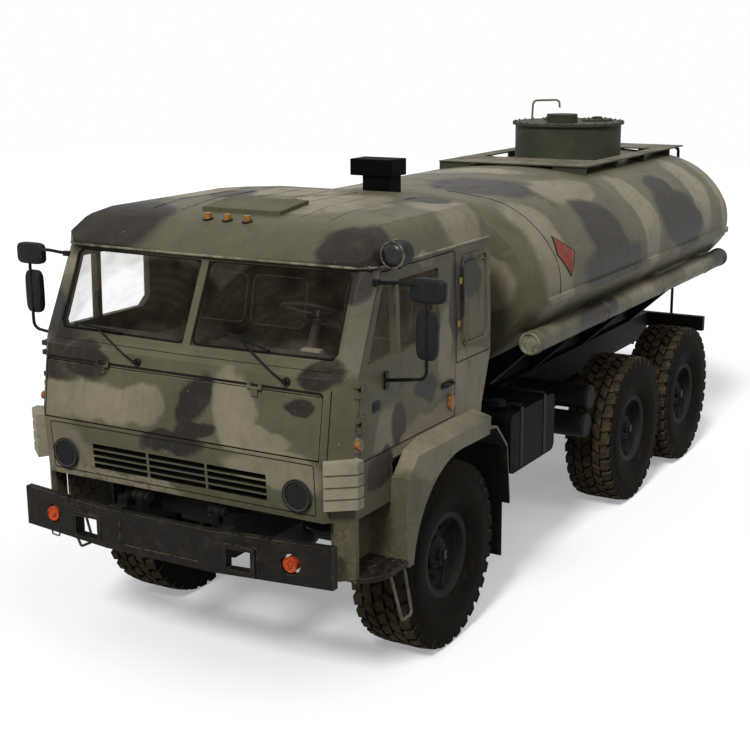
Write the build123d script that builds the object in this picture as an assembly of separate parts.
from build123d import *
import math
import os

# Six-wheel military tanker truck: a cab over the front axle, a ladder frame, two rear axles, and an oval
# fuel tank with a walkway and a manhole tower. Millimetres. Worked out with y = 0 at the front axle, y
# towards the rear, x towards the truck's left, z up from the ground, then moved so that the origin is
# midway along the overall length.

# ---------------------------------------------------------------- driving dimensions
FRONT_END = -1440.0          # foremost face of the bumper
REAR_END = 5800.0            # rear edge of the walkway
AXLE_2_Y = 3340.0
AXLE_3_Y = AXLE_2_Y + 1320.0
GAP = 0.3                    # seating gap between pieces that rest on each other
SHUT_GAP = 7.0               # gap round doors and hatches

# wheels
TYRE_RADIUS = 610.0
TYRE_WIDTH = 400.0
TYRE_OUTER_X = 1190.0        # outer sidewall plane
RIM_RADIUS = 266.0
RIM_WALL = 12.0
DISC_X = 1010.0              # inner face of the wheel disc
DISC_THICK = 16.0
HUB_RADIUS = 95.0
HUB_LENGTH = 150.0
SPINDLE_RADIUS = 55.0
KINGPIN_X = 830.0

# frame
RAIL_OUTER_X = 435.0
RAIL_WIDTH = 75.0
RAIL_BOTTOM = 890.0
RAIL_TOP = 1130.0
RAIL_FRONT = -1290.0
REAR_BAR_Y = 5655.0
REAR_BAR_DEPTH = 60.0
REAR_BAR_HALF = 1000.0
TOW_PIN_Y = REAR_BAR_Y + REAR_BAR_DEPTH + 38.0
TOW_BORE = 20.5
TOW_EARS = (1020.0, 1085.0)          # undersides of the towing clevis's ears
TOW_EAR_THICK = 25.0

# front bumper
BUMPER_HALF = 1140.0
BUMPER_TOP = 1095.0
BUMPER_HEIGHT = 250.0
BUMPER_WALL = 50.0
BUMPER_FLAT_HALF = 404.0     # half width of the raised centre
BUMPER_SWEEP = 100.0         # how far the ends lie behind the centre
BUMPER_LAMP_X = 882.0
BUMPER_LAMP_Z = 965.0
BUMPER_LAMP_HOLE = 62.0

# cab
CAB_REAR = 600.0
CAB_WALL = 50.0
NOSE_WALL = 62.0
PANEL_THICK = 30.0           # grille panel and front hatch
FLOOR_BOTTOM = 1440.0
FLOOR_THICK = 45.0
NOSE_BOTTOM = 1185.0
NOSE_REAR = -705.0
AIR_REAR = -1168.0           # rear of the opening behind the grille panel
SILL_Z = 1510.0
HATCH_BOTTOM = 1556.0
HATCH_TOP = 1908.0
NOSE_HALF = 1012.0           # half width of grille panel and front hatch
EAVE_Z = 2575.0
CAB_PIVOT_Y = -1230.0
CAB_PIVOT_Z = 1130.0
CAB_PIVOT_X = 285.0

# horizontal sections of the cab below the eaves
# columns: z, half width, y of the side corner, x of the front corner, y of the front corner, y at the middle
CAB_LEVELS = (
    (1185.0, 1150.0, -1110.0, 1015.0, -1237.0, -1237.0),
    (1562.0, 1150.0, -1127.0, 1015.0, -1263.0, -1263.0),
    (2001.0, 1150.0, -1057.0, 1015.0, -1194.0, -1194.0),
    (2045.0, 1150.0, -1043.0, 1033.0, -1085.0, -1132.0),
    (EAVE_Z, 1136.0, -792.0, 1044.0, -855.0, -880.0),
)
# roof outlines above the eaves
ROOF_SIDE = ((-905.0, EAVE_Z), (-880.0, 2605.0), (-700.0, 2748.0), (-540.0, 2784.0), (-210.0, 2820.0),
             (CAB_REAR, 2822.0), (CAB_REAR, EAVE_Z))                                   # y, z
ROOF_FRONT = ((1140.0, EAVE_Z), (1104.0, 2655.0), (1068.0, 2726.0), (994.0, 2781.0), (776.0, 2802.0),
              (432.0, 2824.0))                                                         # x, z of one half
ROOF_PLAN = ((1140.0, -800.0), (1046.0, -880.0), (0.0, -905.0))                        # x, y of one half

# doors
DOOR_FRONT = -1050.0
DOOR_REAR = 95.0
DOOR_TOP = 2545.0
BELT_Z = 1990.0
DOOR_TOP_FRONT = -775.0
DOOR_HINGE_X = 1163.0
DOOR_HINGE_Y = -1042.0
DOOR_HINGES_Z = (1735.0, 1935.0)
HINGE_RADIUS = 11.5
PIN_RADIUS = 6.0
WINDOW_BAR_Y = -605.0        # bar between the quarter light and the main window
WINDOW_BAR_WIDTH = 40.0
WINDOW_BOTTOM = 2052.0
WINDOW_TOP = 2478.0
WINDOW_FRONT = -955.0
WINDOW_REAR = -100.0
GLASS_THICK = 8.0
GLASS_INSET = 18.0

# windscreen opening, half: x at the middle post, bottom, top
SCREEN_POST_HALF = 26.0
SCREEN_BOTTOM = 2078.0
SCREEN_TOP = 2548.0
SCREEN_BOTTOM_X = 1018.0
SCREEN_TOP_X = 1012.0

# roof hatch
ABOVE_ROOF = 2900.0          # a height that clears the roof's outside
UNDER_ROOF = 2650.0          # a height inside the cab, below the roof's skin
ROOF_HATCH_HALF = 290.0
ROOF_HATCH_FRONT = -530.0
ROOF_HATCH_REAR = -212.0
ROOF_HATCH_THICK = 26.0
ROOF_HOLE_MARGIN = 38.0
ROOF_HINGE = (-192.0, 2840.0)        # y, z of the hatch's hinge
ROOF_HINGE_X = 180.0
FRONT_HINGE = (-1222.0, 1910.0)      # y, z of the front hatch's hinge
FRONT_HINGE_X = 560.0

# wings and steps
WING_OUTER_X = 1262.0
WING_BOTTOM = 784.0
WING_TOP = 1498.0
WELL_INNER_X = 985.0
STEP_Z = 840.0
STEP_THICK = 30.0
STEP_OUTER_X = 1275.0
STEP_REAR = -724.0
SKIRT_BOTTOM = 890.0

# tank
TANK_HALF_WIDTH = 1240.0
TANK_HALF_HEIGHT = 702.0
TANK_CENTRE_Z = 2045.0
TANK_FRONT = 1335.0          # front of the straight shell
TANK_REAR = 5480.0
HEAD_DEPTH = 222.0
# dished heads. columns: share of the head's depth, share of the shell's section
HEAD_STEPS = ((0.0, 1.0), (0.35, 0.982), (0.66, 0.925), (0.88, 0.80), (1.0, 0.56))
# right half of the tank's section from the crown down, in shares of its half width and half height
TANK_OVAL = ((0.484, 0.939), (0.766, 0.766), (0.978, 0.330), (1.0, 0.10), (0.985, -0.10), (0.888, -0.31),
             (0.60, -0.70))
LEDGE_Z = 2004.0
LEDGE_HEIGHT = 50.0
LEDGE_OUTER_X = 1256.0
CRADLE_YS = (1750.0, 2920.0, 4010.0, 5180.0)
CRADLE_WIDTH = 90.0
CRADLE_TIP = (1000.0, 1640.0)        # x, z of the saddle's upper corner

# hose tubes
HOSE_X = 1171.0
HOSE_Z = 1759.0
HOSE_RADIUS = 80.0
HOSE_FRONT = 1182.0
HOSE_REAR = 5490.0

# walkway and tower
WALK_FRONT = 3335.0
WALK_HALF = 680.0
WALK_Z = 2756.0              # underside of the plate
WALK_THICK = 12.0
WALK_FRONT_DEPTH = 560.0
WALK_SIDE_WIDTH = 150.0
WALK_REAR_DEPTH = 480.0
WALK_FOOT = 115.0
# plates under the walkway. columns: y, width across the truck
WALK_FEET = ((WALK_FRONT + 10, 300.0), (4040.0, 185.0), (4730.0, 185.0), (5400.0, 300.0))
TOWER_Y = 4560.0
TOWER_RADIUS = 477.0
TOWER_FLANGE = 503.0
TOWER_RISE = 303.0           # from the tank's crown to the top of the tower
TOWER_TOP = TANK_CENTRE_Z + TANK_HALF_HEIGHT + TOWER_RISE
TOWER_FLANGE_THICK = 24.0
FILLER_X = 20.0
FILLER_Y = TOWER_Y - 190.0
FILLER_WELL = 112.0
FILLER_WELL_DEPTH = 150.0
FILLER_LID = 137.0
FILLER_LID_HEIGHT = 74.0
FILLER_HINGE = (FILLER_Y + FILLER_LID + 14.0, TOWER_TOP + 23.0)      # y, z
RAIL_HANDLE_TOP = TOWER_TOP + 195.0

# side equipment
FUEL_Y = (936.0, 1690.0)
FUEL_X = (620.0, 1150.0)
FUEL_Z = (871.0, 1300.0)
RECEIVER_RADIUS = 100.0
# air receivers, lying across the frame. columns: y, z
RECEIVERS = ((2547.0, 1052.0), (2478.0, 842.0))
RECEIVER_X = (470.0, 1095.0)
BATTERY_Y = (950.0, 1560.0)
BATTERY_X = (640.0, 1120.0)
BATTERY_Z = (890.0, 1270.0)

# snorkel behind the cab
SNORKEL_X = (135.0, 347.0)
SNORKEL_Y = (690.0, 850.0)
SNORKEL_HEAD_X = (50.0, 378.0)
SNORKEL_HEAD_Z = (2912.0, 3023.0)

Y_SHIFT = -(FRONT_END + REAR_END) / 2


# ---------------------------------------------------------------- helpers
def save(name, *shapes):
    """Write one node, moved to the part's own origin."""
    solids = [Pos(0, Y_SHIFT, 0) * solid for shape in shapes for solid in shape.solids()]
    export_step(solids[0] if len(solids) == 1 else Compound(solids), f"parts/{name}.step")


def block(x0, x1, y0, y1, z0, z1):
    return Pos((x0 + x1) / 2, (y0 + y1) / 2, (z0 + z1) / 2) * Box(x1 - x0, y1 - y0, z1 - z0)


def side_cut(points, x0, x1):
    """A (y, z) outline carried from x0 to x1."""
    face = make_face(Polyline(*points, close=True))
    return extrude(Plane.YZ.offset(x0) * face, amount=x1 - x0)


def front_cut(points, y0, y1):
    """An (x, z) outline carried from y0 to y1."""
    face = make_face(Polyline(*points, close=True))
    return extrude(Plane.XZ.offset(-y1) * face, amount=y1 - y0)


def plan_cut(points, z0, z1):
    """An (x, y) outline carried from z0 to z1."""
    face = make_face(Polyline(*points, close=True))
    return extrude(Plane.XY.offset(z0) * face, amount=z1 - z0)


def round_x(radius, x0, x1, y, z):
    return Pos((x0 + x1) / 2, y, z) * Rot(0, 90, 0) * Cylinder(radius, x1 - x0)


def round_y(radius, y0, y1, x, z):
    return Pos(x, (y0 + y1) / 2, z) * Rot(90, 0, 0) * Cylinder(radius, y1 - y0)


def round_z(radius, z0, z1, x, y):
    return Pos(x, y, (z0 + z1) / 2) * Cylinder(radius, z1 - z0)


def rod(points, radius, bend):
    """A round bar along straight runs joined by bends."""
    path = FilletPolyline(*points, radius=bend)
    return sweep(Plane(origin=path @ 0, z_dir=path % 0) * Circle(radius), path=path)


def both(solid):
    """The solid and its mirror image on the truck's other side."""
    return solid, mirror(solid, about=Plane.YZ)


def mirrored(half):
    """A closed outline from the points of its +x half."""
    return list(half) + [(-x, v) for x, v in reversed(half)]


# ---------------------------------------------------------------- frame and bumper
CROSSMEMBERS = (-1120.0, 770.0, 1900.0, 2950.0, 4000.0, 5560.0)
CROSSMEMBER_HEIGHT = 110.0


def chassis_frame():
    inner = RAIL_OUTER_X - RAIL_WIDTH
    frame = block(inner, RAIL_OUTER_X, RAIL_FRONT, REAR_BAR_Y, RAIL_BOTTOM, RAIL_TOP)
    frame += block(-RAIL_OUTER_X, -inner, RAIL_FRONT, REAR_BAR_Y, RAIL_BOTTOM, RAIL_TOP)
    for y in CROSSMEMBERS:
        frame += block(-inner, inner, y, y + 80, RAIL_TOP - CROSSMEMBER_HEIGHT, RAIL_TOP)
    frame += block(-REAR_BAR_HALF, REAR_BAR_HALF, REAR_BAR_Y, REAR_BAR_Y + REAR_BAR_DEPTH, 992, 1132)
    for z in TOW_EARS:
        frame += block(-50, 50, REAR_BAR_Y + REAR_BAR_DEPTH - 1, TOW_PIN_Y, z, z + TOW_EAR_THICK)
        frame += round_z(40, z, z + TOW_EAR_THICK, 0, TOW_PIN_Y)
    frame -= round_z(TOW_BORE, TOW_EARS[0] - 1, TOW_EARS[1] + TOW_EAR_THICK + 1, 0, TOW_PIN_Y)
    ear_x = CAB_PIVOT_X
    for side in (-1, 1):
        ear = block(ear_x - 25, ear_x + 25, CAB_PIVOT_Y - 36, CAB_PIVOT_Y + 36, RAIL_TOP - 90,
                    CAB_PIVOT_Z)
        ear += round_x(36, ear_x - 25, ear_x + 25, CAB_PIVOT_Y, CAB_PIVOT_Z)
        ear += round_x(20, ear_x - 70, ear_x + 70, CAB_PIVOT_Y, CAB_PIVOT_Z)
        ear += block(ear_x - 25, inner, CAB_PIVOT_Y - 36, CAB_PIVOT_Y + 36, RAIL_BOTTOM, RAIL_TOP - 60)
        frame += ear if side > 0 else mirror(ear, about=Plane.YZ)
    return frame


def bumper_outline(inset):
    y_end = FRONT_END + BUMPER_SWEEP + inset
    return mirrored(((BUMPER_HALF, y_end), (BUMPER_FLAT_HALF, FRONT_END + inset)))


def bumper_face_y(x):
    run = BUMPER_HALF - BUMPER_FLAT_HALF
    return FRONT_END + BUMPER_SWEEP * max(0.0, abs(x) - BUMPER_FLAT_HALF) / run


FRAME_WIDTH = 24.0           # raised frame round each opening in the bumper
PLATE_RECESS = 6.0           # recess in the bumper's middle
PLATE_HALF = 300.0


def front_bumper():
    bottom = BUMPER_TOP - BUMPER_HEIGHT
    front = bumper_outline(0)
    back = bumper_outline(BUMPER_WALL)
    half = [p for p in front if p[0] > 0]
    back_half = [p for p in back if p[0] > 0]
    ring = half + [(-x, y) for x, y in reversed(half)] + [(-x, y) for x, y in back_half]
    ring += [(x, y) for x, y in reversed(back_half)]
    beam = plan_cut(ring, bottom, BUMPER_TOP)
    for side in (-1, 1):
        x = side * BUMPER_LAMP_X
        beam -= round_y(BUMPER_LAMP_HOLE, FRONT_END, FRONT_END + 300, x, BUMPER_LAMP_Z)
        x0, x1 = sorted((side * 480, side * 650))
        z0, z1 = bottom + 40, BUMPER_TOP - 85
        raised = block(x0 - FRAME_WIDTH, x1 + FRAME_WIDTH, FRONT_END + 2, FRONT_END + BUMPER_WALL,
                       z0 - FRAME_WIDTH, z1 + FRAME_WIDTH)
        beam += fillet(raised.edges().filter_by(Axis.Y), FRAME_WIDTH - 4)
        beam -= block(x0, x1, FRONT_END - 1, FRONT_END + 300, z0, z1)
        x0, x1 = sorted((side * 360, side * RAIL_OUTER_X))
        beam += block(x0, x1, FRONT_END + BUMPER_WALL, RAIL_FRONT, RAIL_BOTTOM + 20, RAIL_TOP - 50)
    beam -= block(-PLATE_HALF, PLATE_HALF, FRONT_END - 1, FRONT_END + PLATE_RECESS, bottom + 45, BUMPER_TOP - 45)
    return beam


def bumper_lamps():
    lamps = []
    for side in (-1, 1):
        x = side * BUMPER_LAMP_X
        y = bumper_face_y(x)
        lamp = round_y(44, y - 4, y + 60, x, BUMPER_LAMP_Z)
        foot = math.sqrt(BUMPER_LAMP_HOLE ** 2 - 8.0 ** 2) - GAP
        lamp += block(x - 8, x + 8, y + 20, y + 40, BUMPER_LAMP_Z - foot, BUMPER_LAMP_Z)
        lamps.append(lamp)
    return lamps


def rear_lamps():
    y = REAR_BAR_Y + REAR_BAR_DEPTH
    return both(block(700, 960, y, y + 45, 1012, 1112))


# ---------------------------------------------------------------- engine, axles and springs
SHAFT_END = 180.0            # from a rear axle's centre to the end of a shaft


def driveline():
    engine = block(-340, 340, -800, 450, 850, 1395)
    foot_x = RAIL_OUTER_X - RAIL_WIDTH - GAP
    for y in (-620, 180, 2360):
        engine += block(-foot_x, foot_x, y, y + 80, 920, 980)
    gearbox = block(-200, 200, 450, 1180, 800, 1005)
    shaft = round_y(42, 1180, 2160, 0, 900)
    transfer = block(-250, 250, 2160, 2640, 700, 1005)
    front_shaft = round_y(40, 150, 2160, 0, 760)
    to_second = round_y(42, 2640, AXLE_2_Y - SHAFT_END, 0, 740)
    to_third = round_y(42, AXLE_2_Y + SHAFT_END, AXLE_3_Y - SHAFT_END, 0, 740)
    return engine + gearbox + shaft + transfer + front_shaft + to_second, to_third


def radiator():
    core = block(-330, 330, -1010, -900, RAIL_TOP + GAP, 1385)
    return core + block(-RAIL_OUTER_X + 10, RAIL_OUTER_X - 10, -980, -930, RAIL_TOP + GAP, RAIL_TOP + 25)


def turned_axle(y, right_half, ball):
    """A solid of revolution about the wheel axis at y, from (x, radius) steps and a round middle."""
    reach = right_half[0][1]
    start = math.sqrt(ball ** 2 - reach ** 2)
    steps = [(start, reach)] + list(right_half[1:])
    left = [(-x, r) for x, r in reversed(steps)]
    outline = [Line(a, b) for a, b in zip(steps, steps[1:])]
    outline += [Line(a, b) for a, b in zip(left, left[1:])]
    outline += [Line(steps[-1], (steps[-1][0], 0)), Line((steps[-1][0], 0), (left[0][0], 0)),
                Line((left[0][0], 0), left[0])]
    outline += [ThreePointArc(left[-1], (0, ball), steps[0])]
    return Pos(0, y, TYRE_RADIUS) * revolve(Plane.XZ * make_face(outline), axis=Axis.X)


def front_axle():
    axle = turned_axle(0.0, ((0.0, 62.0), (KINGPIN_X, 62.0)), 180.0)
    for side in (-1, 1):
        axle += round_z(52, TYRE_RADIUS - 85, TYRE_RADIUS + 85, side * KINGPIN_X, 0)
        axle -= round_z(24, TYRE_RADIUS - 90, TYRE_RADIUS + 90, side * KINGPIN_X, 0)
        axle += block(side * 405 - 45, side * 405 + 45, -70, 70, TYRE_RADIUS, TYRE_RADIUS + 78)
    return axle


def rear_axle(y):
    end = DISC_X + DISC_THICK + 60
    return turned_axle(y, ((0.0, 72.0), (760.0, 72.0), (760.0, 190.0), (905.0, 190.0), (905.0, 72.0),
                           (940.0, 72.0), (940.0, SPINDLE_RADIUS), (end, SPINDLE_RADIUS)), 200.0)


def knuckle():
    """Left knuckle: a yoke round the axle's kingpin barrel, with the spindle."""
    z = TYRE_RADIUS
    yoke = block(KINGPIN_X - 48, KINGPIN_X + 96, -60, 60, z + 90, z + 128)
    yoke += block(KINGPIN_X - 48, KINGPIN_X + 96, -60, 60, z - 128, z - 90)
    yoke += block(KINGPIN_X + 62, KINGPIN_X + 96, -95, 95, z - 128, z + 128)
    yoke += round_z(24 - GAP, z - 90, z + 90, KINGPIN_X, 0)
    yoke += round_x(SPINDLE_RADIUS, KINGPIN_X + 90, DISC_X + DISC_THICK + 60, 0, z)
    return yoke


def leaf_pack(x, y, half, seat_z, eye_z, drop, x_width=70.0):
    """A crescent of leaves, from eye to eye, seated at its middle."""
    top = ThreePointArc((y - half, eye_z), (y, seat_z + drop), (y + half, eye_z))
    ends = (Line((y + half, eye_z), (y + half, eye_z - 18)), Line((y - half, eye_z - 18), (y - half, eye_z)))
    low = ThreePointArc((y + half, eye_z - 18), (y, seat_z), (y - half, eye_z - 18))
    face = make_face([top, ends[0], low, ends[1]])
    return extrude(Plane.YZ.offset(x - x_width / 2) * face, amount=x_width)


def leaf_springs():
    front = leaf_pack(398, 0, 560, TYRE_RADIUS + 78 + GAP, RAIL_BOTTOM - 10, 85)
    front += block(363, 433, -572, -535, RAIL_BOTTOM - 60, RAIL_BOTTOM)
    front += block(363, 433, 535, 572, RAIL_BOTTOM - 60, RAIL_BOTTOM)
    middle = (AXLE_2_Y + AXLE_3_Y) / 2
    half = (AXLE_3_Y - AXLE_2_Y) / 2
    rear = leaf_pack(398, middle, half, 748, TYRE_RADIUS + 72 + 18 + GAP, 90)
    rear += block(363, 433, middle - 90, middle + 90, 800, RAIL_BOTTOM)
    return both(front) + both(rear)


# ---------------------------------------------------------------- wheels
LUG_PITCHES = 26
LUG_HEIGHT = 20.0
LUG_SINK = 14.0              # how far a lug's foot lies inside the carcass
LUG_LENGTH = 88.0            # along the tread
# lugs of one pitch. columns: middle across the tread, width across, turn round the wheel in pitches
LUG_ROWS = ((-132.0, 108.0, 0.0), (0.0, 104.0, 0.5), (132.0, 108.0, 0.0))


def tyre_section(half, tread_radius):
    """Half of a tyre's section, from bead to tread. columns: radius, half width."""
    return ((RIM_RADIUS + GAP, half - 40), (RIM_RADIUS + 60, half - 10), (430.0, half), (530.0, half - 4),
            (tread_radius - 28, half - 12), (tread_radius, half - 28))


def tyre_body():
    """Tread, shoulders and sidewalls, turned about the wheel's axis, with blocks round the tread."""
    base = TYRE_RADIUS - LUG_HEIGHT
    half_section = tyre_section(TYRE_WIDTH / 2, base)
    outline = [(-w, r) for r, w in half_section] + [(w, r) for r, w in reversed(half_section)]
    body = revolve(Plane.XZ * make_face(Polyline(*outline, close=True)), axis=Axis.X)
    half_pitch = math.pi / LUG_PITCHES
    top = (TYRE_RADIUS - LUG_LENGTH / 2 * math.sin(half_pitch)) / math.cos(half_pitch)
    lugs = []
    for x, width, turn in LUG_ROWS:
        lug = block(x - width / 2, x + width / 2, -LUG_LENGTH / 2, LUG_LENGTH / 2, base - LUG_SINK, top)
        for n in range(LUG_PITCHES):
            lugs.append(Rot((n + turn) * 360 / LUG_PITCHES, 0, 0) * lug)
    return body.fuse(*lugs)


def tyre(y, side):
    return Pos(side * (TYRE_OUTER_X - TYRE_WIDTH / 2), y, TYRE_RADIUS) * TYRE_BODY


NUT_COUNT = 10
NUT_CIRCLE = 165.0
NUT_RADIUS = 15.0
NUT_HEIGHT = 16.0


def rim(y, side):
    """Barrel, disc and hub, bored for the spindle."""
    centre = TYRE_OUTER_X - TYRE_WIDTH / 2
    outer = centre + TYRE_WIDTH / 2 - 42
    inner = centre - TYRE_WIDTH / 2 + 42
    wheel = round_x(RIM_RADIUS, inner, outer, 0, 0) - round_x(RIM_RADIUS - RIM_WALL, inner, outer, 0, 0)
    wheel += round_x(RIM_RADIUS - RIM_WALL / 2, DISC_X, DISC_X + DISC_THICK, 0, 0)
    wheel += round_x(HUB_RADIUS, DISC_X - 30, DISC_X - 30 + HUB_LENGTH, 0, 0)
    nut = round_x(NUT_RADIUS, DISC_X + DISC_THICK - 1, DISC_X + DISC_THICK + NUT_HEIGHT, 0, NUT_CIRCLE)
    for n in range(NUT_COUNT):
        wheel += Rot(n * 360 / NUT_COUNT, 0, 0) * nut
    wheel -= round_x(SPINDLE_RADIUS + GAP, DISC_X - 31, DISC_X + DISC_THICK + 60 + GAP, 0, 0)
    if side < 0:
        wheel = mirror(wheel, about=Plane.YZ)
    return Pos(0, y, TYRE_RADIUS) * wheel


TYRE_BODY = tyre_body()


# ---------------------------------------------------------------- tank
def tank_section(share, y, grow=0.0):
    """Oval of eight arcs across the truck at y, a share of the full section."""
    a = TANK_HALF_WIDTH * share + grow
    b = TANK_HALF_HEIGHT * share + grow
    crown, shoulder, flank_top, flank, flank_low, haunch, belly = [
        (part_x * a, part_z * b) for part_x, part_z in TANK_OVAL]
    half = (crown, shoulder, flank_top), (flank_top, flank, flank_low), (flank_low, haunch, belly)
    arcs = [ThreePointArc((-crown[0], crown[1]), (0, b), crown)]
    arcs += [ThreePointArc(*points) for points in half]
    arcs += [ThreePointArc(belly, (0, -b), (-belly[0], belly[1]))]
    arcs += [ThreePointArc(*[(-x, z) for x, z in reversed(points)]) for points in reversed(half)]
    return Plane(origin=(0, y, TANK_CENTRE_Z), x_dir=(1, 0, 0), z_dir=(0, -1, 0)) * make_face(arcs)


def tank_barrel(grow=0.0):
    return extrude(tank_section(1.0, TANK_REAR, grow), amount=TANK_REAR - TANK_FRONT)


def tank_shell():
    barrel = tank_barrel()
    front = loft([tank_section(share, TANK_FRONT - depth * HEAD_DEPTH) for depth, share in HEAD_STEPS],
                 ruled=True)
    rear = loft([tank_section(share, TANK_REAR + depth * HEAD_DEPTH) for depth, share in HEAD_STEPS],
                ruled=True)
    shell = barrel + front + rear
    for side in (-1, 1):
        x0, x1 = sorted((side * (TANK_HALF_WIDTH - 30), side * LEDGE_OUTER_X))
        shell += block(x0, x1, TANK_FRONT, TANK_REAR, LEDGE_Z, LEDGE_Z + LEDGE_HEIGHT)
    return shell


def tank_cradles():
    cut = tank_barrel(GAP)
    cradles = []
    for y in CRADLE_YS:
        y0, y1 = y - CRADLE_WIDTH / 2, y + CRADLE_WIDTH / 2
        saddle = front_cut(mirrored(((RAIL_OUTER_X, RAIL_TOP + GAP), CRADLE_TIP)), y0, y1)
        cradles.append(saddle - cut)
    return cradles


def hose_tubes():
    tube = round_y(HOSE_RADIUS, HOSE_FRONT, HOSE_REAR, HOSE_X, HOSE_Z)
    for y0, y1 in ((HOSE_FRONT, HOSE_FRONT + 24), (HOSE_REAR - 24, HOSE_REAR)):
        tube += round_y(HOSE_RADIUS + 5, y0, y1, HOSE_X, HOSE_Z)
        tube -= round_y(HOSE_RADIUS - 10, y0 - 15 if y0 == HOSE_FRONT else y1 - 15,
                        y0 + 15 if y0 == HOSE_FRONT else y1 + 15, HOSE_X, HOSE_Z)
    cut = tank_barrel(GAP)
    for y in CRADLE_YS:
        arm = front_cut(((HOSE_X, HOSE_Z - 30), (HOSE_X, HOSE_Z + 30), (HOSE_X - 330, HOSE_Z - 90),
                         (HOSE_X - 330, HOSE_Z - 210)), y + CRADLE_WIDTH / 2 + GAP, y + CRADLE_WIDTH / 2 + 20)
        tube += arm - cut
    return both(tube)


# ---------------------------------------------------------------- walkway and tower
def walkway():
    deck = block(-WALK_HALF, WALK_HALF, WALK_FRONT, REAR_END, WALK_Z, WALK_Z + WALK_THICK)
    deck -= block(-(WALK_HALF - WALK_SIDE_WIDTH), WALK_HALF - WALK_SIDE_WIDTH, WALK_FRONT + WALK_FRONT_DEPTH,
                  REAR_END - WALK_REAR_DEPTH, WALK_Z - 1, WALK_Z + WALK_THICK + 1)
    cut = tank_barrel(GAP)
    for y, width in WALK_FEET:
        for side in (-1, 1):
            x0, x1 = sorted((side * WALK_HALF, side * (WALK_HALF - width)))
            deck += block(x0, x1, y, y + 10, WALK_Z - WALK_FOOT, WALK_Z + 1) - cut
    return deck


def manhole_tower():
    cut = tank_barrel(GAP)
    tower = round_z(TOWER_RADIUS, 2500, TOWER_TOP - TOWER_FLANGE_THICK, 0, TOWER_Y) - cut
    solids = sorted(tower.solids(), key=lambda s: s.volume)
    tower = solids[-1]
    tower += round_z(TOWER_FLANGE, TOWER_TOP - TOWER_FLANGE_THICK, TOWER_TOP, 0, TOWER_Y)
    tower -= round_z(FILLER_WELL, TOWER_TOP - FILLER_WELL_DEPTH, TOWER_TOP + 1, FILLER_X, FILLER_Y)
    y, z = FILLER_HINGE
    for x in (FILLER_X - 43, FILLER_X + 31):
        tower += block(x, x + 12, y - 12, y + 12, TOWER_TOP - 5, z)
        tower += round_x(12, x, x + 12, y, z)
    tower += round_x(PIN_RADIUS, FILLER_X - 43, FILLER_X + 43, y, z)
    return tower


def tower_fittings():
    left_disc = round_z(100, TOWER_TOP, TOWER_TOP + 32, -180, TOWER_Y + 110)
    right_disc = round_z(140, TOWER_TOP, TOWER_TOP + 18, 230, TOWER_Y + 130)
    y = TOWER_Y + 60
    handle = rod(((-386, y, TOWER_TOP), (-386, y, RAIL_HANDLE_TOP - 12),
                  (-109, y, RAIL_HANDLE_TOP - 12), (-109, y, TOWER_TOP)), 12, 40)
    return left_disc, right_disc, handle


def filler_lid():
    lid = round_z(FILLER_LID, TOWER_TOP + GAP, TOWER_TOP + FILLER_LID_HEIGHT, FILLER_X, FILLER_Y)
    y, z = FILLER_HINGE
    lid += block(FILLER_X - 30, FILLER_X + 30, FILLER_Y + FILLER_LID - 20, y, z - 10, z + 10)
    lid += round_x(10, FILLER_X - 30, FILLER_X + 30, y, z)
    lid -= round_x(PIN_RADIUS + GAP, FILLER_X - 31, FILLER_X + 31, y, z)
    return lid


# ---------------------------------------------------------------- equipment on the frame
def fuel_tank():
    body = block(*FUEL_X, *FUEL_Y, *FUEL_Z)
    body = fillet(body.edges().filter_by(Axis.X), 60)
    for y in (FUEL_Y[0] + 130, FUEL_Y[1] - 190):
        body += block(RAIL_OUTER_X, FUEL_X[0] + 5, y, y + 60, FUEL_Z[0] + 60, FUEL_Z[1] - 150)
    body += round_z(50, FUEL_Z[1] - 5, FUEL_Z[1] + 35, FUEL_X[1] - 130, FUEL_Y[0] + 160)
    return body


def battery_box():
    body = block(-BATTERY_X[1], -BATTERY_X[0], *BATTERY_Y, *BATTERY_Z)
    body = fillet(body.edges().filter_by(Axis.Z), 20)
    for y in (BATTERY_Y[0] + 80, BATTERY_Y[1] - 140):
        body += block(-BATTERY_X[0] - 5, -RAIL_OUTER_X, y, y + 60, BATTERY_Z[0] + 60, RAIL_TOP - 20)
    return body


def air_receivers():
    tanks = []
    for y, z in RECEIVERS:
        tank = round_x(RECEIVER_RADIUS, *RECEIVER_X, y, z)
        tank = fillet(tank.edges().filter_by(GeomType.CIRCLE), 30)
        tanks.append(tank)
    bracket = block(RAIL_OUTER_X, RECEIVER_X[0] + 5, 2420, 2600, 830, 1120)
    return tanks[0] + tanks[1] + bracket


GUARD_TIP = (806.0, 735.0)
GUARD_LINE = ((430.0, 1345.0), (590.0, 1326.0), (755.0, 1155.0), GUARD_TIP)        # y, z
GUARD_THICK = 14.0


def wheel_guards():
    low = [(y - GUARD_THICK, z - GUARD_THICK * 0.7) for y, z in reversed(GUARD_LINE)]
    strip = side_cut(list(GUARD_LINE) + low, 800, 1215)
    arm = block(RAIL_OUTER_X, 810, 640, 700, RAIL_TOP - 130, RAIL_TOP - 80)
    arm += side_cut(((640, RAIL_TOP - 130), (700, RAIL_TOP - 130), (780, 1040), (740, 1120)), 790, 812)
    arm += block(790, 812, 640, 756, RAIL_TOP - 130, 1060)
    return both(strip + arm)


def mudflaps():
    flap = block(800, 1150, GUARD_TIP[0] + GAP, GUARD_TIP[0] + 12, 330, GUARD_TIP[1] + 60)
    return both(flap)


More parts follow.
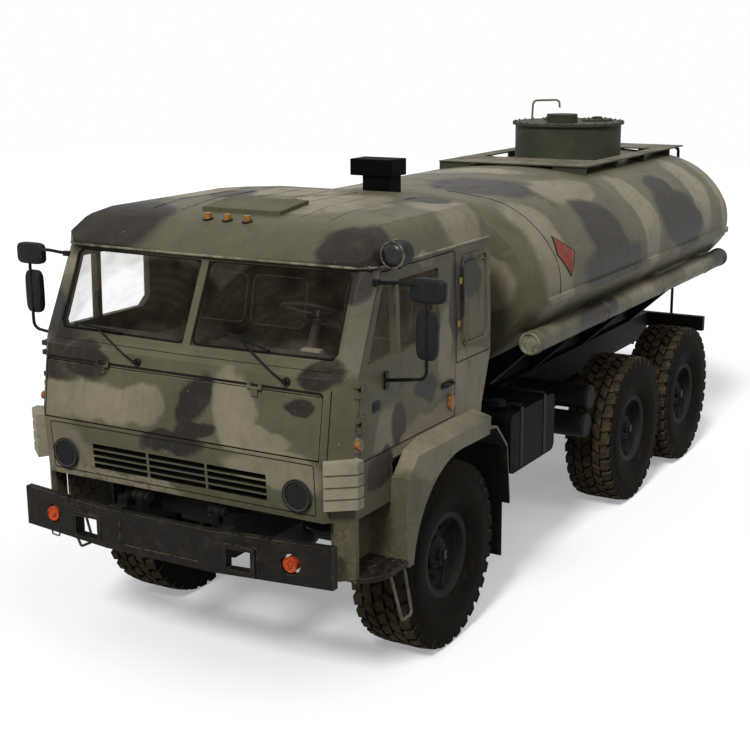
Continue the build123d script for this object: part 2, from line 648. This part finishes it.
def snorkel():
    x0, x1 = SNORKEL_X
    y0, y1 = SNORKEL_Y
    stack = block(x0, x1, y0, y1, RAIL_TOP + GAP, SNORKEL_HEAD_Z[0] + 5)
    head = block(*SNORKEL_HEAD_X, y0 - 20, y1 + 20, *SNORKEL_HEAD_Z)
    return stack + head


def rear_ladder():
    y = REAR_END - 22
    ladder = None
    for x in (250, 640):
        top = WALK_Z - 14 - GAP
        post = rod(((x, y - 60, top), (x, y, top), (x, y, 760)), 14, 40)
        ladder = post if ladder is None else ladder + post
    for n in range(7):
        ladder += round_x(11, 250, 640, y, 800 + n * 290)
    for x in (250, 640):
        ladder += block(x - 12, x + 12, REAR_BAR_Y + REAR_BAR_DEPTH + GAP, y, 1040, 1080)
    return ladder


# ---------------------------------------------------------------- cab shell
def cab_outline(level, side_in, front_in, rear_in):
    z, half, corner_y, front_x, front_y, middle_y = level
    shrink = front_in * 0.35
    half_points = [(half - side_in, CAB_REAR - rear_in), (half - side_in, corner_y + shrink + front_in * 0.2),
                   (front_x - shrink * 0.6, front_y + front_in)]
    points = half_points + [(0, middle_y + front_in)] + [(-x, y) for x, y in reversed(half_points)]
    return Plane.XY.offset(z) * make_face(Polyline(*points, close=True))


def roof_mass(side_in, front_in, rear_in, top_in):
    low = EAVE_Z
    side = [(y + front_in, z) for y, z in ROOF_SIDE[:1]]
    side += [(y + front_in, z - top_in) for y, z in ROOF_SIDE[1:-2]]
    side += [(CAB_REAR - rear_in, ROOF_SIDE[-2][1] - top_in), (CAB_REAR - rear_in, low)]
    front = [(ROOF_FRONT[0][0] - side_in, low)]
    front += [(x - side_in, z - top_in) for x, z in ROOF_FRONT[1:]]
    plan = [(ROOF_PLAN[0][0] - side_in, CAB_REAR - rear_in)]
    plan += [(x - side_in if x else 0, y + front_in) for x, y in ROOF_PLAN[:-1]]
    plan_points = plan + [(0, ROOF_PLAN[-1][1] + front_in)] + [(-x, y) for x, y in reversed(plan)]
    mass = side_cut(side, -1200, 1200)
    mass &= front_cut(mirrored(front), -1000, CAB_REAR)
    mass &= plan_cut(plan_points, low, ABOVE_ROOF)
    return mass


def cab_mass(side_in=0.0, front_in=0.0, rear_in=0.0, top_in=0.0):
    """The cab's outer form, or the same form set in by given walls."""
    body = loft([cab_outline(level, side_in, front_in, rear_in) for level in CAB_LEVELS], ruled=True)
    return body + roof_mass(side_in, front_in, rear_in, top_in)


def door_outline(gap=0.0):
    return ((DOOR_FRONT - gap, SILL_Z - gap), (DOOR_REAR + gap, SILL_Z - gap), (DOOR_REAR + gap, DOOR_TOP + gap),
            (DOOR_TOP_FRONT - gap, DOOR_TOP + gap), (DOOR_FRONT - gap, BELT_Z))


def window_outlines():
    """Quarter light and main window, as (y, z) outlines."""
    bar0 = WINDOW_BAR_Y - WINDOW_BAR_WIDTH / 2
    bar1 = WINDOW_BAR_Y + WINDOW_BAR_WIDTH / 2
    quarter = ((WINDOW_FRONT, WINDOW_BOTTOM), (bar0, WINDOW_BOTTOM), (bar0, WINDOW_TOP),
               (WINDOW_FRONT + 190, WINDOW_TOP), (WINDOW_FRONT + 172, WINDOW_TOP - 40))
    main = ((bar1, WINDOW_BOTTOM), (WINDOW_REAR - 70, WINDOW_BOTTOM), (WINDOW_REAR, WINDOW_BOTTOM + 60),
            (WINDOW_REAR, WINDOW_TOP - 20), (WINDOW_REAR - 20, WINDOW_TOP), (bar1, WINDOW_TOP))
    return quarter, main


def screen_outlines():
    """The two windscreen openings, as (x, z) outlines."""
    right = ((SCREEN_POST_HALF, SCREEN_BOTTOM), (SCREEN_BOTTOM_X - 30, SCREEN_BOTTOM),
             (SCREEN_BOTTOM_X, SCREEN_BOTTOM + 40), (SCREEN_TOP_X, SCREEN_TOP - 30),
             (SCREEN_TOP_X - 25, SCREEN_TOP), (SCREEN_POST_HALF, SCREEN_TOP))
    return right, tuple((-x, z) for x, z in reversed(right))


MASS = cab_mass()
INNER = cab_mass(CAB_WALL, NOSE_WALL, CAB_WALL, CAB_WALL - 10)
PANEL_BACK = cab_mass(0.0, PANEL_THICK, 0.0, 0.0)


def cab_hinges():
    """Fixed halves of the hinges, with their pins, of the doors, the front hatch and the roof hatch."""
    door_half = None
    for z in DOOR_HINGES_Z:
        pin = round_z(PIN_RADIUS, z - 45, z + 45, DOOR_HINGE_X, DOOR_HINGE_Y)
        for z0 in (z - 45, z + 15):
            pin += round_z(HINGE_RADIUS, z0, z0 + 30, DOOR_HINGE_X, DOOR_HINGE_Y)
            pin += block(DOOR_HINGE_X - HINGE_RADIUS, DOOR_HINGE_X + 3, -1092, DOOR_HINGE_Y, z0, z0 + 30)
            pin += block(1100, DOOR_HINGE_X + 3, -1092, DOOR_FRONT - SHUT_GAP - 1, z0, z0 + 30)
        door_half = pin if door_half is None else door_half + pin
    hinges = door_half + mirror(door_half, about=Plane.YZ)
    for x in (-FRONT_HINGE_X, FRONT_HINGE_X):
        hinges += round_x(5, x - 50, x + 50, *FRONT_HINGE)
        for x0 in (x - 50, x + 25):
            hinges += round_x(9, x0, x0 + 25, *FRONT_HINGE)
            hinges += block(x0, x0 + 25, FRONT_HINGE[0], -1180, FRONT_HINGE[1], FRONT_HINGE[1] + 28)
    for x in (-ROOF_HINGE_X, ROOF_HINGE_X):
        hinges += round_x(5, x - 40, x + 40, *ROOF_HINGE)
        for x0 in (x - 40, x + 20):
            hinges += round_x(9, x0, x0 + 20, *ROOF_HINGE)
            hinges += block(x0, x0 + 20, ROOF_HINGE[0] - 9, ROOF_HINGE[0] + 9, ROOF_HINGE[1] - 50, ROOF_HINGE[1])
    return hinges


# frame pressed into the panel behind each door. columns: y, z
BLANK_WINDOW = ((197.0, 1925.0), (565.0, 1925.0), (565.0, 2505.0), (197.0, 2505.0))
BLANK_RISE = 9.0
BLANK_WIDTH = 22.0


def blank_window_frames():
    outer = cab_mass(-BLANK_RISE, 0.0, 0.0, 0.0)
    (y0, z0), _, (y1, z1), _ = BLANK_WINDOW
    bars = block(1120, 1200, y0, y1, z0, z1)
    bars = fillet(bars.edges().filter_by(Axis.X), 60)
    hole = block(1119, 1201, y0 + BLANK_WIDTH, y1 - BLANK_WIDTH, z0 + BLANK_WIDTH, z1 - BLANK_WIDTH)
    bars -= fillet(hole.edges().filter_by(Axis.X), 42)
    return both(bars & outer)


def cab_shell():
    floor_top = FLOOR_BOTTOM + FLOOR_THICK
    under = side_cut(((NOSE_REAR, 1000), (700, 1000), (700, SILL_Z), (CAB_REAR + 1, 1825), (480, SILL_Z - 5),
                      (470, FLOOR_BOTTOM), (NOSE_REAR, FLOOR_BOTTOM)), -1300, 1300)
    shell = MASS - under
    room = INNER - block(-1300, 1300, -1400, 800, 1000, floor_top)
    heel = side_cut(((600, 1000), (600, 1900), (CAB_REAR - CAB_WALL, 1860), (430, floor_top), (430, 1000)),
                    -1300, 1300)
    shell -= room - heel
    nose = INNER & block(-1300, 1300, -1400, NOSE_REAR + 1, 1000, FLOOR_BOTTOM)
    shell -= nose
    shell -= block(-NOSE_HALF, NOSE_HALF, -1400, AIR_REAR, 1000, FLOOR_BOTTOM)
    recess = MASS - cab_mass(0.0, PANEL_THICK + GAP, 0.0, 0.0)
    shell -= recess & block(-NOSE_HALF, NOSE_HALF, -1400, -1000, 1000, HATCH_TOP)
    for side in (-1, 1):
        x0, x1 = sorted((side * 1000, side * 1300))
        shell -= side_cut(door_outline(SHUT_GAP), x0, x1)
    for outline in screen_outlines():
        shell -= front_cut(outline, -1400, -700)
    shell -= block(-ROOF_HATCH_HALF + ROOF_HOLE_MARGIN, ROOF_HATCH_HALF - ROOF_HOLE_MARGIN,
                   ROOF_HATCH_FRONT + ROOF_HOLE_MARGIN, ROOF_HATCH_REAR - ROOF_HOLE_MARGIN, UNDER_ROOF, ABOVE_ROOF)
    shell += blank_window_frames()
    shell += cab_hinges()
    for x in (CAB_PIVOT_X - 61, CAB_PIVOT_X + 31, -CAB_PIVOT_X - 61, -CAB_PIVOT_X + 31):
        lug = side_cut(((CAB_PIVOT_Y - 24, CAB_PIVOT_Z + 24), (CAB_PIVOT_Y + 34, CAB_PIVOT_Z),
                        (CAB_PIVOT_Y + 150, FLOOR_BOTTOM + 5), (CAB_PIVOT_Y + 64, FLOOR_BOTTOM + 5),
                        (CAB_PIVOT_Y + 46, NOSE_BOTTOM - 10)), x, x + 30)
        lug += round_x(34, x, x + 30, CAB_PIVOT_Y, CAB_PIVOT_Z)
        lug -= round_x(20 + GAP, x - 1, x + 31, CAB_PIVOT_Y, CAB_PIVOT_Z)
        shell += lug
    return shell


HEADLAMP_X = NOSE_HALF - 154.0
HEADLAMP_Z = 1331.0
HEADLAMP_RADIUS = 96.0
GRILLE_HALF = 652.0
GRILLE_BOTTOM = 1257.0
GRILLE_TOP = 1425.0
GRILLE_ROWS = 4
GRILLE_COLUMNS = 3


def grille_panel():
    band = MASS - PANEL_BACK
    panel = band & block(-NOSE_HALF + GAP, NOSE_HALF - GAP, -1400, -1100, NOSE_BOTTOM - 1,
                         HATCH_BOTTOM - SHUT_GAP - GAP)
    for side in (-1, 1):
        panel -= round_y(HEADLAMP_RADIUS + GAP, -1400, -1100, side * HEADLAMP_X, HEADLAMP_Z)
    column = 2 * GRILLE_HALF / GRILLE_COLUMNS
    row = (GRILLE_TOP - GRILLE_BOTTOM) / GRILLE_ROWS
    for i in range(GRILLE_COLUMNS):
        for j in range(GRILLE_ROWS):
            x = -GRILLE_HALF + column * i
            z = GRILLE_BOTTOM + row * j
            panel -= block(x + 9, x + column - 9, -1400, -1100, z + 6, z + row - 6)
    return panel


def front_hatch():
    band = MASS - PANEL_BACK
    hatch = band & block(-NOSE_HALF + SHUT_GAP, NOSE_HALF - SHUT_GAP, -1400, -1000, HATCH_BOTTOM,
                         HATCH_TOP - SHUT_GAP)
    for x in (-FRONT_HINGE_X, FRONT_HINGE_X):
        hatch += round_x(9, x - 24, x + 24, *FRONT_HINGE)
        hatch += block(x - 24, x + 24, FRONT_HINGE[0] - 9, -1200, FRONT_HINGE[1] - 45, FRONT_HINGE[1])
        hatch -= round_x(5 + GAP, x - 25, x + 25, *FRONT_HINGE)
        hatch -= block(x - 25, x + 25, FRONT_HINGE[0] + 9, -1100, HATCH_TOP - SHUT_GAP, HATCH_TOP + 40)
    return hatch


def headlamps():
    face = -1258
    lamp = round_y(HEADLAMP_RADIUS, face, face + 70, HEADLAMP_X, HEADLAMP_Z)
    lamp += round_y(HEADLAMP_RADIUS - 4, face - 10, face + 1, HEADLAMP_X, HEADLAMP_Z)
    lamp -= round_y(HEADLAMP_RADIUS - 14, face - 11, face, HEADLAMP_X, HEADLAMP_Z)
    return both(lamp)


VENT_SLITS = (1332.0, 1402.0, 1472.0)
VENT_SLIT_HEIGHT = 16.0
VENT_SLIT_DEPTH = 9.0


def corner_vents():
    plan = ((1058.0, -1296.0), (1208.0, -1176.0), (1214.0, -1120.0), (1150.5, -1100.0), (1020.0, -1236.0))
    vent = plan_cut(plan, 1280, 1556) - cab_mass(-GAP, -GAP, 0.0, 0.0)
    vent = sorted(vent.solids(), key=lambda s: s.volume)[-1]
    for z in VENT_SLITS:
        slab = plan_cut(plan, z, z + VENT_SLIT_HEIGHT)
        vent -= slab - Pos(-VENT_SLIT_DEPTH, VENT_SLIT_DEPTH, 0) * slab
    return both(vent)


def windscreen():
    outer = cab_mass(GLASS_INSET, GLASS_INSET, 0.0, 0.0)
    inner = cab_mass(GLASS_INSET, GLASS_INSET + GLASS_THICK, 0.0, 0.0)
    sheet = outer - inner
    return [sheet & front_cut(outline, -1300, -700) for outline in screen_outlines()]


def door(side):
    x0, x1 = sorted((side * (1150 - 200), side * 1300))
    leaf = (MASS - INNER) & side_cut(door_outline(), x0, x1)
    leaf = sorted(leaf.solids(), key=lambda s: s.volume)[-1]
    for outline in window_outlines():
        leaf -= side_cut(outline, x0, x1)
    for z in DOOR_HINGES_Z:
        knuckle_half = round_z(HINGE_RADIUS, z - 14, z + 14, DOOR_HINGE_X, DOOR_HINGE_Y)
        knuckle_half += block(1130, DOOR_HINGE_X + 3, DOOR_HINGE_Y, DOOR_HINGE_Y + 60, z - 14, z + 14)
        knuckle_half -= round_z(PIN_RADIUS + GAP, z - 15, z + 15, DOOR_HINGE_X, DOOR_HINGE_Y)
        leaf += knuckle_half if side > 0 else mirror(knuckle_half, about=Plane.YZ)
    return leaf


def door_glass(side):
    x0, x1 = sorted((side * 950, side * 1300))
    sheet = cab_mass(GLASS_INSET, 0.0, 0.0, 0.0) - cab_mass(GLASS_INSET + GLASS_THICK, -5.0, -5.0, -5.0)
    return [sheet & side_cut(outline, x0, x1) for outline in window_outlines()]


def roof_line(y):
    """Height of the roof above y, between the hatch's ends."""
    (y0, z0), (y1, z1) = ROOF_SIDE[3], ROOF_SIDE[4]
    return z0 + (z1 - z0) * (y - y0) / (y1 - y0)


def roof_hatch():
    y0, y1 = ROOF_HATCH_FRONT, ROOF_HATCH_REAR
    low0, low1 = roof_line(y0) + GAP, roof_line(y1) + GAP
    hatch = side_cut(((y0, low0), (y1, low1), (y1, low1 + ROOF_HATCH_THICK), (y0, low0 + ROOF_HATCH_THICK)),
                     -ROOF_HATCH_HALF, ROOF_HATCH_HALF)
    for x in (-ROOF_HINGE_X, ROOF_HINGE_X):
        hatch += round_x(9, x - 19, x + 19, *ROOF_HINGE)
        hatch += block(x - 19, x + 19, y1 - 10, ROOF_HINGE[0], ROOF_HINGE[1] - 8, ROOF_HINGE[1] + 5)
        hatch -= round_x(5 + GAP, x - 20, x + 20, *ROOF_HINGE)
    return hatch


# ---------------------------------------------------------------- cab outside
def wing():
    """Left front wing: an outer flare, and the wall ahead of the wheel."""
    outer = ((-700.0, WING_BOTTOM), (-722.0, 1150.0), (-690.0, 1330.0), (-560.0, 1462.0), (-400.0, WING_TOP),
             (335.0, WING_TOP), (400.0, 1450.0), (378.0, 1328.0))                       # y, z
    outline = [Line(a, b) for a, b in zip(outer, outer[1:])]
    arch_top = (60.0, 1334.0)
    outline += [Line(outer[-1], arch_top), ThreePointArc(arch_top, (-470.0, 1130.0), (-634.0, WING_BOTTOM)),
                Line((-634.0, WING_BOTTOM), outer[0])]
    flare = extrude(Plane.YZ.offset(1150 + GAP) * make_face(outline), amount=WING_OUTER_X - 1150 - GAP)
    slope = front_cut(((1151.0, WING_TOP + 1), (1300.0, WING_TOP + 1), (1300.0, 1440.0), (WING_OUTER_X, 1440.0)),
                      -900, 500)
    flare -= slope
    wall = block(WELL_INNER_X, 1150 + GAP, NOSE_REAR + GAP, NOSE_REAR + 16, WING_BOTTOM, FLOOR_BOTTOM - GAP)
    return flare + wall


def cab_steps():
    """Left entry step: tread plate, inner wall, corner skirt and hanging rung."""
    z0, z1 = STEP_Z - STEP_THICK, STEP_Z
    front = -1110.0
    edge = [Line((WELL_INNER_X, STEP_REAR), (WELL_INNER_X, front)), Line((WELL_INNER_X, front), (1150.0, front)),
            ThreePointArc((1150.0, front), (1250.0, -1010.0), (STEP_OUTER_X, -860.0)),
            Line((STEP_OUTER_X, -860.0), (STEP_OUTER_X, STEP_REAR)),
            Line((STEP_OUTER_X, STEP_REAR), (WELL_INNER_X, STEP_REAR))]
    step = extrude(Plane.XY.offset(z0) * make_face(edge), amount=z1 - z0)
    step += block(WELL_INNER_X, WELL_INNER_X + 18, -1110, STEP_REAR, z1 - 5, NOSE_BOTTOM + 60)
    skirt = ((1058.0, -1196.0), (1150.0, -1110.0), (1150.0, -1075.0), (1040.0, -1075.0), (1040.0, -1170.0))
    step += plan_cut(skirt, SKIRT_BOTTOM - 60, NOSE_BOTTOM - GAP) - block(1060, 1400, -1060, -1000, 700, 1200)
    step += rod(((1250, -900, STEP_Z - 20), (1250, -760, 475), (1250, -640, 470), (1250, -738, STEP_Z - 20)),
                9, 25)
    return step


def searchlight():
    drum = round_y(78, -760, -650, 1196, 2645)
    stalk = block(1085, 1200, -705, -675, 2560, 2590)
    stalk += block(1180, 1212, -705, -675, 2560, 2600)
    return drum + (stalk - cab_mass(-GAP, 0.0, 0.0, -GAP))


def cab_lamps():
    lamps = []
    for x in (-146.0, 0.0, 146.0):
        cone = Pos(x, -664, 2772) * Cone(27, 20, 46)
        lamps.append(cone - cab_mass(0.0, -GAP, 0.0, -GAP))
    turn = both(round_x(27, 1150 + GAP, 1178, -1092, 1624))
    return lamps + list(turn)


def mirror_left():
    x0 = 1150 + GAP
    arm = rod(((x0 - 12, -770, 2500), (1330, -770, 2500), (1400, -800, 2450), (1400, -800, 1930),
               (1330, -736, 1890), (x0, -736, 1890)), 11, 25)
    arm += block(x0, x0 + 12, -766, -706, 1850, 1930)
    long_head = block(1385, 1525, -850, -795, 2085, 2370)
    long_head = fillet(long_head.edges().filter_by(Axis.Y), 20)
    short_head = block(1345, 1580, -860, -790, 2405, 2550)
    short_head = fillet(short_head.edges().filter_by(Axis.Y), 25)
    return arm + long_head + short_head


# ---------------------------------------------------------------- cab inside
# seats. columns: x low, x high
SEATS = ((330.0, 850.0), (-880.0, 60.0))


def seats():
    floor = FLOOR_BOTTOM + FLOOR_THICK
    made = []
    for x0, x1 in SEATS:
        base = block(x0 + 60, x1 - 60, -330, 60, floor + GAP, 1800)
        cushion = block(x0, x1, -400, 120, 1800, 1930)
        back = side_cut(((60, 1900), (180, 1900), (260, 2400), (150, 2400)), x0, x1)
        made.append(base + cushion + back)
    return made


DASH_HALF = 1040.0


def dashboard():
    profile = ((-1160.0, 1970.0), (-860.0, 2060.0), (-760.0, 2020.0), (-740.0, 1840.0), (-860.0, 1760.0),
               (-1160.0, 1760.0))                                                       # y, z
    dash = side_cut(profile, -DASH_HALF, DASH_HALF)
    column = round_z(28, 0, 360, 0, 0)
    column = Pos(590, -760, 1880) * Rot(-28, 0, 0) * column
    return (dash & cab_mass(CAB_WALL + GAP, NOSE_WALL + GAP, CAB_WALL, CAB_WALL)) + column


def steering_wheel():
    ring = Torus(225, 14)
    ring += Cylinder(45, 40)
    for angle in (90, 210, 330):
        ring += Rot(0, 0, angle) * Pos(115, 0, 0) * Box(220, 26, 14)
    return ring


WHEEL_TILT = -28.0


def main():
    os.makedirs("parts", exist_ok=True)
    save("chassis_frame", chassis_frame())
    save("front_bumper", front_bumper())
    save("bumper_lamps", *bumper_lamps())
    save("rear_lamps", *rear_lamps())
    save("engine_and_driveline", *driveline())
    save("radiator", radiator())
    save("front_axle", front_axle())
    save("rear_axles", rear_axle(AXLE_2_Y), rear_axle(AXLE_3_Y))
    save("leaf_springs", *leaf_springs())
    save("knuckle_left", knuckle())
    save("knuckle_right", mirror(knuckle(), about=Plane.YZ))
    for name, y in (("front", 0.0), ("middle", AXLE_2_Y), ("rear", AXLE_3_Y)):
        for word, side in (("left", 1), ("right", -1)):
            save(f"tyre_{name}_{word}", tyre(y, side))
            save(f"rim_{name}_{word}", rim(y, side))
    save("tank_shell", tank_shell())
    save("tank_cradles", *tank_cradles())
    save("hose_tubes", *hose_tubes())
    save("walkway", walkway())
    save("manhole_tower", manhole_tower())
    save("tower_fittings", *tower_fittings())
    save("filler_lid", filler_lid())
    save("fuel_tank", fuel_tank())
    save("battery_box", battery_box())
    save("air_receivers", air_receivers())
    save("wheel_guards", *wheel_guards())
    save("mudflaps", *mudflaps())
    save("snorkel", snorkel())
    save("rear_ladder", rear_ladder())
    save("cab_shell", cab_shell())
    save("grille_panel", grille_panel())
    save("front_hatch", front_hatch())
    save("headlamps", *headlamps())
    save("corner_vents", *corner_vents())
    save("windscreen", *windscreen())
    for word, side in (("left", 1), ("right", -1)):
        save(f"door_{word}", door(side))
        save(f"door_glass_{word}", *door_glass(side))
    save("roof_hatch", roof_hatch())
    save("wings", *both(wing()))
    save("cab_steps", *both(cab_steps()))
    save("searchlight", searchlight())
    save("cab_lamps", *cab_lamps())
    save("mirror_left", mirror_left())
    save("mirror_right", mirror(mirror_left(), about=Plane.YZ))
    save("seats", *seats())
    save("dashboard", dashboard())
    save("steering_wheel", Pos(590, -760, 1880) * Rot(WHEEL_TILT, 0, 0) * Pos(0, 0, 380) * steering_wheel())


main()
